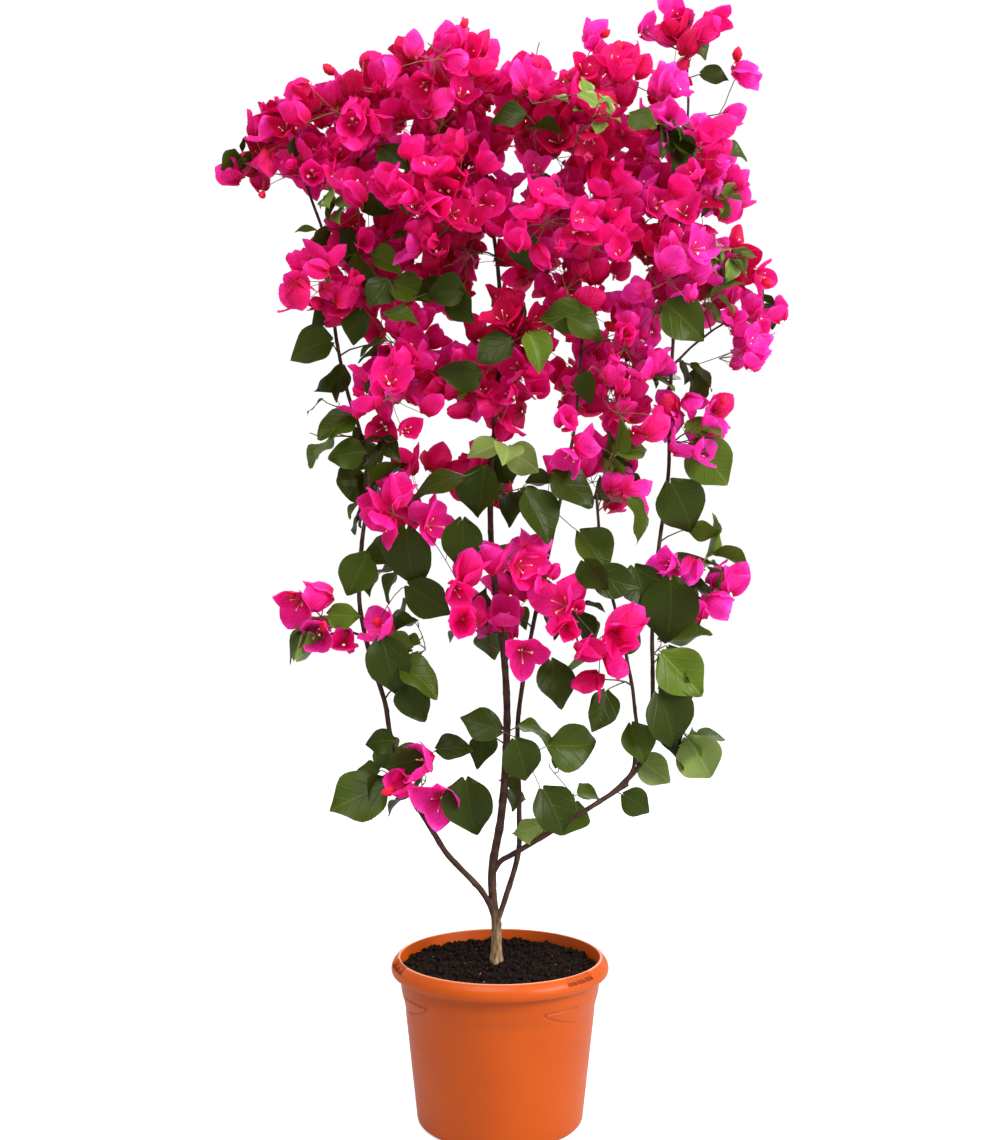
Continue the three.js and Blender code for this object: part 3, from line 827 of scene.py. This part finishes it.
def bark_relief(rng):
    """Swollen joints every few centimetres, ridges along the limb and small lumps."""
    phases = rng.uniform(0, FULL_TURN, 6)
    spacing = rng.uniform(0.026, 0.038)

    def relief(around, along):
        joint = np.exp(-(((along + phases[0] * 0.004) % spacing - spacing / 2) / 0.0028) ** 2)
        lean = 0.5 + 0.5 * np.cos(around - phases[1] - math.pi * np.floor(along / spacing))
        ridges = 0.035 * np.sin(5 * around + phases[2] + 40 * along) + 0.03 * np.sin(3 * around + phases[3])
        lumps = 0.04 * np.sin(260 * along + 2 * around + phases[4]) * np.sin(97 * along + phases[5])
        return 0.20 * joint * lean + ridges + lumps

    return relief


def build_bark(limbs, rng):
    heap = Heap()
    for index, (name, (path, widths)) in enumerate(limbs.items()):
        column = (index / len(limbs), (index + 0.94) / len(limbs))
        if name == "trunk":
            above = path[:, 2] - SOIL_TOP
            widths = widths * 0.90 + 0.0012 * np.exp(-np.maximum(above, 0) / 0.006)
        heap.add(*tube(path, widths, 16, bark_relief(rng), column))
    bark = heap.piece("bark", bark_material(), "bark")
    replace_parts(bark, *LIMB_PARENTS)


# ---- Twigs: a seeded branching rule ----
class Growth:
    """The points of the plant's wood that a new twig may spring from."""

    def __init__(self, limbs):
        self.places, self.ways, self.widths = [], [], []
        for name, (path, widths) in limbs.items():
            if name != "trunk":
                first = len(path) // 3 if name in ("left_bough", "right_long_bough") else len(path) // 6
                self.extend(path[first:], widths[first:])

    def extend(self, path, widths):
        self.places.append(path[::2])
        self.ways.append(np.gradient(path, axis=0)[::2])
        self.widths.append(widths[::2])

    def nearest(self, target):
        """The best place to spring from: close, and rather from below or inside than from above."""
        places, ways, widths = map(np.concatenate, (self.places, self.ways, self.widths))
        gap = target - places
        distance = sizes(gap)
        ways = ways / np.maximum(np.linalg.norm(ways, axis=1, keepdims=True), 1e-9)
        lean = (gap * ways).sum(1) / np.maximum(distance, 1e-9)
        cost = distance * (1.25 - 0.35 * lean) + 0.55 * np.maximum(places[:, 2] - target[2] + 0.01, 0)
        cost += 0.05 * (distance < 0.012)
        best = int(np.argmin(cost))
        return places[best], ways[best], widths[best]

    def twig(self, target, heading, rng):
        """A curved twig to the target, which arrives along the heading. Returns its path and radii."""
        place, way, width = self.nearest(target)
        reach = np.linalg.norm(target - place)
        leave = mixed(way, unit(target - place) + up(0.15), 0.6)
        count = max(4, int(reach / 0.010) + 1)
        t = np.linspace(0, 1, count)[:, None]
        sweep = float(smoothstep(0.01, 0.07, reach))
        first = place + leave * reach * (0.10 + 0.26 * sweep)
        second = target - heading * reach * (0.10 + 0.20 * sweep) + jitter(rng, 0.04 * reach * sweep)
        path = (1 - t) ** 3 * place + 3 * t * (1 - t) ** 2 * first
        path = path + 3 * t**2 * (1 - t) * second + t**3 * target
        foot = min(TWIG_RADIUS, width * 0.8, TWIG_TIP + reach * 0.012)
        widths = foot + (TWIG_TIP - foot) * t[:, 0]
        self.extend(path[1:], widths[1:])
        return path, widths


class Envelope:
    """The masses' solids, which the foliage fills and stays within."""

    def __init__(self):
        self.solids = {}
        for name in MASSES:
            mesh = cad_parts[name].data
            faces = [tuple(face.vertices) for face in mesh.polygons]
            tree = BVHTree.FromPolygons([vertex.co for vertex in mesh.vertices], faces)
            self.solids[name] = (*map(np.array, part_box(name)), tree)

    def inside(self, name, point):
        """Counts the skins above the point."""
        low, high, tree = self.solids[name]
        if (point < low).any() or (point > high).any():
            return False
        start, ray, skins = Vector(point), Vector((0.013, 0.021, 1.0)), 0
        while skins < 9:
            hit = tree.ray_cast(start, ray)[0]
            if hit is None:
                break
            skins += 1
            start = hit + ray * 1e-5
        return skins % 2 == 1

    def depth(self, name, point):
        return self.solids[name][2].find_nearest(Vector(point))[3]

    def holds(self, point, slack):
        """Whether the point is in a mass, or at most the slack outside one, and clear of the sky gaps."""
        if in_sky_gap(point):
            return False
        for name, (low, high, tree) in self.solids.items():
            if (point < low - slack).any() or (point > high + slack).any():
                continue
            if self.inside(name, point) or self.depth(name, point) < slack:
                return True
        return False


GAPS = np.array(SKY_GAPS) / 1000


def in_sky_gap(point):
    """Whether the point shows within a gap, from the camera's place in front of the bush."""
    spread = CAMERA_DISTANCE / (CAMERA_DISTANCE + point[1])
    x, z = point[0] * spread, CAMERA_HEIGHT + (point[2] - CAMERA_HEIGHT) * spread
    return bool((np.hypot(GAPS[:, 0] - x, GAPS[:, 1] - z) < GAPS[:, 2]).any())


def spray_places(name, wanted, rng, taken, envelope):
    """Places for sprays inside a mass, towards its outside, each the loneliest of a few tries.

    Below the crown the front is set out one by one, so these keep to the back there."""
    low, high, _ = envelope.solids[name]
    shallow = min(0.022, 0.35 * min(high - low) / 2)
    made = []
    for _ in range(wanted):
        tries = []
        for _ in range(400):
            point = rng.uniform(low, high)
            shown = point[2] < CROWN_HEIGHT and point[1] < 0.0
            if shown or in_sky_gap(point) or not envelope.inside(name, point):
                continue
            if shallow < envelope.depth(name, point) < rng.uniform(0.030, 0.085):
                tries.append(point)
            if len(tries) == 9:
                break
        if tries:
            gaps = [sizes(np.array(taken) - point).min() for point in tries]
            if max(gaps) > 0.5 * SPRAY_SPREAD:
                made.append(tries[int(np.argmax(gaps))])
                taken.append(made[-1])
    return made


def outward(point):
    """The way out of the bush at a point: away from its middle line, and somewhat up."""
    middle = np.array([point[0] * 0.55, 0.0, point[2]])
    away = unit(point - middle + np.array([0, 1e-4, 0]))
    return unit(away + up(0.35 + 0.9 * smoothstep(0.98, 1.2, point[2])))


# ---- Leaves and bracts ----
def blade_grid(rows, columns):
    """Places (across from -1 to 1, along from 0 to 1) on a pointed blade, and its triangles."""
    even = np.linspace(0, 1, rows + 1)
    along = 0.5 * even + 0.25 * (1 - np.cos(math.pi * even))
    points = [(a, s) for s in along[:-1] for a in np.linspace(-1, 1, columns + 1)] + [(0.0, 1.0)]
    last, tip = (rows - 1) * (columns + 1), rows * (columns + 1)
    return np.array(points), np.vstack([strip_faces(rows, columns + 1), fan_faces(last, columns, tip)])


BRACT_GRID, BRACT_FACES = blade_grid(8, 8)
LEAF_GRID, LEAF_FACES = blade_grid(12, 6)


def blade_places(grid, outline):
    """The blade's own map, across and along, with its width as it is in the leaf."""
    a, s = grid.T
    return np.stack([0.5 + 0.5 * a * outline(s) / outline(s).max(), s], -1)


def bract_outline(s):
    narrowed = 1 - 0.16 * smoothstep(0.72, 0.96, s)
    return 0.89 * (s + 0.03) ** 0.46 * np.maximum(1.0 - s, 0) ** 0.64 * narrowed


def leaf_outline(s):
    narrowed = 1 - 0.36 * smoothstep(0.60, 0.95, s)
    return 1.02 * (s + 0.010) ** 0.50 * np.maximum(1.0 - s, 0) ** 0.74 * narrowed


BRACT_MAP = blade_places(BRACT_GRID, bract_outline)
LEAF_MAP = blade_places(LEAF_GRID, leaf_outline)


def bract_shape(rng):
    """A bract of unit length: cupped across, bent along, ruffled at its edge and faintly pleated."""
    a, s = BRACT_GRID.T
    half = bract_outline(s) * rng.uniform(0.90, 1.10)
    cup, bend, wave = rng.uniform(0.15, 0.72), rng.uniform(-0.22, 0.24), rng.uniform(0.02, 0.06)
    phase = rng.uniform(0, FULL_TURN)
    swell = np.sin(math.pi * s)
    z = cup * a**2 * half + bend * s**2 - rng.uniform(0.01, 0.13) * swell
    z = z + wave * a**2 * np.sin(FULL_TURN * 2.0 * s + phase + 1.2 * np.sign(a))
    z = z + 0.010 * np.sin(7.0 * a + phase) * swell
    return np.stack([a * half + 0.06 * np.sin(phase) * s**2, s - 0.10 * a**2 * (1 - s) ** 5, z], -1)


def leaf_shape(rng):
    """A leaf of unit length: folded along its midrib, its tip turned down, with a wavy edge."""
    a, s = LEAF_GRID.T
    half = leaf_outline(s) * rng.uniform(0.90, 1.12)
    fold, bend, wave = rng.uniform(0.05, 0.55), rng.uniform(-0.05, 0.50), rng.uniform(0.02, 0.08)
    phase = rng.uniform(0, FULL_TURN)
    x = a * half
    z = fold * np.abs(a) * half - bend * s**2 - 0.30 * np.maximum(s - 0.8, 0)
    z = z + wave * np.abs(a) ** 2 * np.sin(FULL_TURN * 1.5 * s + phase + 1.7 * np.sign(a))
    x = x + 0.11 * np.sin(phase) * s**3
    return np.stack([x, s - 0.09 * np.sin(math.pi * np.abs(a)) * (1 - s) ** 6, z], -1)


def placed(shape, size, way, face, where):
    """The shape scaled, its length laid along way and its inner side turned to face."""
    way = unit(way)
    face = unit(face - way * np.dot(face, way))
    side = np.cross(way, face)
    return where + size * (shape[:, :1] * side + shape[:, 1:2] * way + shape[:, 2:] * face)


class Foliage:
    """Everything that hangs on the wood, gathered by kind and tint."""

    def __init__(self, growth, envelope, rng):
        self.growth, self.envelope, self.rng = growth, envelope, rng
        self.bracts = [Heap() for _ in BRACT_TINTS]
        self.leaves = [Heap() for _ in LEAF_TINTS]
        self.stalks, self.florets, self.buds, self.twigs = Heap(), Heap(), Heap(), Heap()

    def twig(self, target, heading, thickest=TWIG_RADIUS):
        """Grows a twig to the target and returns its path."""
        path, widths = self.growth.twig(target, heading, self.rng)
        self.twigs.add(*tube(path, np.minimum(widths, thickest), 6))
        return path

    def stem(self, foot, tip, width):
        middle = (foot + tip) / 2 + jitter(self.rng, 0.0015)
        self.stalks.add(*tube([foot, middle, tip], [width, width * 0.8, width * 0.7], 4))

    def leaf(self, foot, way, size, tint):
        """A leaf on its stalk. Its upper side faces up and out of the bush."""
        rng = self.rng
        base = foot + way * size * rng.uniform(0.16, 0.30)
        droop = unit(way * 0.9 + up(-0.75) * rng.uniform(0.2, 1.2) + jitter(rng, 0.25))
        if not self.envelope.holds(base + droop * size * 0.8, 0.012):
            return
        face = unit(outward(base) + up(0.45) + jitter(rng, 0.30))
        self.stem(foot, base, 0.0008)
        self.leaves[tint].add(placed(leaf_shape(rng), size, droop, face, base), LEAF_FACES, LEAF_MAP)

    def flower(self, base, axis, size, openness, tint):
        """Three bracts, round three slender flower tubes where the flower is open enough."""
        rng = self.rng
        first = across(axis)
        second = np.cross(axis, first)
        start = rng.uniform(0, FULL_TURN)
        for k in range(3):
            turn = start + k * FULL_TURN / 3 + rng.normal(0, 0.12)
            radial = swung(first, second, turn)
            tilt = openness + rng.normal(0, 0.10)
            way, face = swung(axis, radial, tilt), swung(-radial, axis, tilt)
            foot = base + radial * 0.0012
            length = size * rng.uniform(0.9, 1.08)
            self.bracts[tint].add(placed(bract_shape(rng), length, way, face, foot), BRACT_FACES, BRACT_MAP)
            if openness > 0.45:
                length, is_open = size * rng.uniform(0.34, 0.46), rng.uniform() < 0.25
                self.floret(foot + face * 0.0010, unit(way + face * 0.28), length, is_open)

    def floret(self, foot, way, length, is_open):
        """A slender tube with five notched lobes at its mouth where it is open."""
        share = np.array([0, 0.3, 0.6, 0.85, 1.0])
        path = foot + way * length * share[:, None]
        points, faces, places = tube(path, [0.0005, 0.0008, 0.0006, 0.0006, 0.0008], 5)
        places[:, 1] *= 0.80
        self.florets.add(points, faces, places)
        if is_open:
            first, mouth = across(way), path[-1]
            second = np.cross(way, first)
            ks = np.arange(10)
            turns = np.linspace(0, FULL_TURN, 11)[:-1, None]
            reach = np.where(ks % 2 == 0, 0.0020, 0.0011)[:, None]
            ring = mouth + way * 0.0012 + reach * swung(first, second, turns)
            star = np.stack([ks, (ks + 1) % 10, np.full(10, 10)], -1)
            self.florets.add(np.vstack([ring, mouth]), star, np.full((11, 2), 0.97))

    def bract_tint(self, tip):
        """Lit and shaded copies: magenta and light pink stand in for light on the lit right side, and dark
        crimson is painted shade deep inside and behind; light pink also goes more to the low sprays.
        """
        right = smoothstep(0.05, 0.26, tip[0])
        deep = 1 - smoothstep(0.02, 0.09, abs(tip[1]))
        low = 1 - smoothstep(0.55, 0.95, tip[2])
        # painted light: lighter tints weighted to the lit right side, the dark crimson shaded copy weighted
        # to places deep inside and behind
        weights = np.array([
            0.42, 0.26 * (1 - 0.7 * right) * (1 - 0.8 * low), 0.20 + 0.45 * low, 0.46 * right,
            (0.04 + 0.12 * deep) * (1 - low)])
        return int(self.rng.choice(len(BRACT_TINTS), p=weights / weights.sum()))

    def bloom(self, tip, heading, count, spread, size, lift=0.0, slack=0.008):
        """A flowering spray: flowers on thin stems round the twig's tip, and now and then a bud. The lift
        turns the flowers up."""
        rng = self.rng
        tint = self.bract_tint(tip)
        root = tip - heading * spread * 0.5
        made = []
        for _ in range(count * 14):
            if len(made) == count:
                break
            way = unit(heading * 0.7 + rng.normal(0, 0.8, 3))
            where = root + way * spread * rng.uniform(0.6, 1.25)
            axis = unit(way * 0.55 + heading * 0.2 + up(lift) + jitter(rng, 0.42))
            if made and sizes(np.array(made) - where).min() < size * 0.55:
                continue
            if not self.envelope.holds(where + axis * size * 0.45, slack):
                continue
            made.append(where)
            base = where - axis * size * 0.3
            self.stem(root, base, 0.0005)
            small = rng.uniform() < 0.12
            openness = rng.uniform(0.05, 0.3) if small else rng.uniform(0.25, 0.90)
            own = size * (rng.uniform(0.45, 0.7) if small else rng.uniform(0.84, 1.12))
            self.flower(base, axis, own, openness, tint if rng.uniform() < 0.8 else self.bract_tint(where))
        if rng.uniform() < 0.35:
            self.bud(root, unit(heading + rng.normal(0, 0.6, 3)), spread * rng.uniform(0.9, 1.2))

    def bud(self, root, way, reach):
        """A closed red bud on a thin stem."""
        rng = self.rng
        tip = root + way * reach
        self.stem(root, tip, 0.0004)
        size = rng.uniform(0.0040, 0.0060)
        share = np.array([0.0, 0.2, 0.5, 0.8, 0.97])
        radii = size * np.array([0.25, 0.75, 1.0, 0.65, 0.15])
        self.buds.add(*tube(tip + way * size * 2.9 * share[:, None], radii, 9, bud_ribs))

    def leafy(self, path, heading, count, size, tint):
        """Leaves set alternately along the end of a twig, and one at its tip."""
        rng = self.rng
        side = across(heading)
        for k in range(count):
            share = 1.0 - k * min(0.9 / count, 0.22)
            at = share * (len(path) - 1)
            i = min(int(at), len(path) - 2)
            foot = path[i] + (path[i + 1] - path[i]) * (at - i)
            turn = k * 2.4 + rng.uniform(-0.4, 0.4)
            aside = swung(side, np.cross(heading, side), turn)
            ahead, spread, share_of_size = (1.2, 0.3, 0.85) if k == 0 else (0.35, 1.0, 1.0)
            way = unit(heading * ahead + aside * spread + outward(foot) * 0.4)
            self.leaf(foot, way, size * rng.uniform(0.72, 1.15) * share_of_size, tint)

    def shown_leaf(self, middle, length, hour, tint):
        """A leaf that shows its whole face in the photo, on a stalk from the nearest wood."""
        rng = self.rng
        turn = math.radians(30 * hour)
        way = unit(np.array([math.sin(turn), rng.uniform(-0.35, 0.1), math.cos(turn)]))
        base = middle - way * length * 0.5
        face = unit(np.array([0, -1, 0.3]) + jitter(rng, 0.42))
        self.twig(base, mixed(way, (0, 0, 1), 0.2), LEAF_STALK_RADIUS)
        self.leaves[tint].add(placed(leaf_shape(rng), length, way, face, base), LEAF_FACES, LEAF_MAP)


def bud_ribs(around, _):
    return 0.10 * np.cos(3 * around)


def bract_length(place):
    return CROWN_BRACT_LENGTH if place[2] > CROWN_HEIGHT else BRACT_LENGTH


def grow_shown(foliage):
    """The sprays and leaves that the photo shows one by one, each kind lowest first."""
    rng = foliage.rng
    for x, y, z, count, spread in sorted(SHOWN_SPRAYS, key=lambda row: row[2]):
        tip = np.array([x, y, z]) / 1000
        heading = unit(outward(tip) + np.array([0, -0.5, 0]) + jitter(rng, 0.2))
        foliage.twig(tip, heading)
        foliage.bloom(tip, heading, count, spread / 1000, bract_length(tip), slack=0.03)
    for place in YOUNG_SHOOTS:
        tip = np.array(place) / 1000
        heading = unit(outward(tip) + np.array([0, -0.3, 0]) + jitter(rng, 0.3))
        foliage.leafy(foliage.twig(tip, heading), heading, 7, YOUNG_LEAF_LENGTH, len(LEAF_TINTS) - 1)
    for x, y, z, length, hour, tint in sorted(SHOWN_LEAVES, key=lambda row: row[2]):
        foliage.shown_leaf(np.array([x, y, z]) / 1000, length / 1000, hour, tint)


def grow(limbs, rng):
    """Twigs to every spray's place, nearest first, each furnished as its mass asks."""
    envelope, growth = Envelope(), Growth(limbs)
    foliage = Foliage(growth, envelope, rng)
    taken = [np.array(row[:3]) / 1000 for row in SHOWN_SPRAYS + SHOWN_LEAVES]
    sprays = []
    for name, (blooms, leafy, leaf_scale) in MASSES.items():
        for kind, wanted in (("bloom", blooms), ("leafy", leafy)):
            places = spray_places(name, wanted, rng, taken, envelope)
            sprays += [(place, kind, leaf_scale, "_tip_" in name) for place in places]
    wood = np.concatenate(growth.places)
    sprays.sort(key=lambda spray: float(sizes(wood - spray[0]).min()))
    for place, kind, leaf_scale, airy in sprays:
        heading = unit(outward(place) + jitter(rng, 0.3))
        path = foliage.twig(place, heading)
        size = LEAF_LENGTH * leaf_scale
        tint = int(rng.choice(len(LEAF_TINTS), p=LEAF_TINT_SHARES))
        if kind == "bloom":
            count = int(rng.integers(3, 6) if airy else rng.integers(6, 11))
            foliage.bloom(place, heading, count, SPRAY_SPREAD, bract_length(place), lift=0.45)
            foliage.leafy(path, heading, int(rng.integers(0, 2)), size * 0.8, tint)
        else:
            foliage.leafy(path, heading, int(rng.integers(3, 6)), size, tint)
    grow_shown(foliage)
    return foliage


def build_foliage(limbs, rng):
    foliage = grow(limbs, rng)
    flowering = [name for name in MASSES if name not in GREEN_MASSES]
    for index, (heap, tints) in enumerate(zip(foliage.bracts, BRACT_TINTS)):
        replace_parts(heap.piece(f"bracts_{index}", bract_material(index, *tints), "blossom"), *flowering)
    for index, (heap, tints) in enumerate(zip(foliage.leaves, LEAF_TINTS)):
        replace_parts(heap.piece(f"leaves_{index}", leaf_material(index, *tints), "leaf"), *GREEN_MASSES)
    foliage.twigs.piece("twigs", stalk_material("twig", (0.060, 0.034, 0.020), (0.10, 0.10, 0.03)), "bark")
    foliage.stalks.piece("stalks", stalk_material("stalk", (0.14, 0.13, 0.04), (0.30, 0.16, 0.06)), "leaf")
    foliage.florets.piece("florets", floret_material(), "blossom")
    foliage.buds.piece("buds", stalk_material("bud", (0.40, 0.01, 0.02), (0.80, 0.01, 0.06)), "blossom")


# ---- Stage, light and camera ----
SKY_LIGHT = 0.61  # what the white surroundings give the plant; the camera sees them as full white
WHITE = 1.02
FLOOR_SHADE = 0.60
FLOOR_GLOW = WHITE - FLOOR_SHADE * SKY_LIGHT  # lifts the open floor to the white around it
FLOOR_REACH = 12.0


def build_stage():
    """A white floor and white surroundings, which are brighter for the camera than for the plant."""
    mesh = bpy.data.meshes.new("floor")
    corners = [(-1, -1), (1, -1), (1, 1), (-1, 1)]
    mesh.from_pydata([(x * FLOOR_REACH, y * FLOOR_REACH, 0) for x, y in corners], [], [(0, 1, 2, 3)])
    floor = added("floor", mesh)
    shader = Shader("pale_floor")
    seen = shader.node("LightPath").outputs["Is Camera Ray"]
    shader.feed(shader.surface.inputs["Emission Strength"], shader.times(seen, FLOOR_GLOW))
    shader.feed(shader.surface.inputs["Emission Color"], (1.0, 1.0, 1.0))
    mesh.materials.append(shader.finish((FLOOR_SHADE,) * 3, 0.9, 0.0))
    world = bpy.data.worlds.new("studio")
    world.use_nodes = True
    tree = world.node_tree
    level = tree.nodes.new("ShaderNodeMath")
    level.operation = "MULTIPLY_ADD"
    tree.links.new(tree.nodes.new("ShaderNodeLightPath").outputs["Is Camera Ray"], level.inputs[0])
    level.inputs[1].default_value = WHITE - SKY_LIGHT
    level.inputs[2].default_value = SKY_LIGHT
    background = tree.nodes["Background"]
    background.inputs["Color"].default_value = (1.0, 1.0, 1.0, 1)
    tree.links.new(level.outputs[0], background.inputs["Strength"])
    bpy.context.scene.world = world
    bpy.context.scene.view_settings.view_transform = "Standard"


def area_light(name, place, target, width, power, colour):
    light = bpy.data.lights.new(name, "AREA")
    light.size, light.energy, light.color = width, power, colour
    made = added(name, light)
    made.location = place
    made.rotation_euler = (Vector(target) - Vector(place)).to_track_quat("-Z", "Y").to_euler()


def build_light():
    middle = (0.0, 0.0, 0.7)
    area_light("key", (2.1, -1.3, 1.7), middle, 1.2, 98, (1.0, 0.99, 0.97))
    area_light("top", (-0.4, -1.2, 2.8), middle, 1.6, 62, (1.0, 1.0, 1.0))
    area_light("back", (0.6, 2.3, 2.2), middle, 1.4, 25, (1.0, 1.0, 1.0))


def build_camera():
    camera = bpy.data.cameras.new("camera")
    camera.sensor_width = 36.0
    camera.lens = CAMERA_LENS
    camera.clip_start, camera.clip_end = 0.05, 60.0
    made = added("camera", camera)
    made.location = (0.0, -CAMERA_DISTANCE, CAMERA_HEIGHT)
    made.rotation_euler = (math.radians(90 - CAMERA_DIP), 0, 0)
    bpy.context.scene.camera = made


build_camera()
build_stage()
build_light()
build_pot()
build_soil(np.random.default_rng(SEED))
LIMBS = read_limbs()
build_bark(LIMBS, np.random.default_rng(SEED + 1))
build_foliage(LIMBS, np.random.default_rng(SEED + 2))
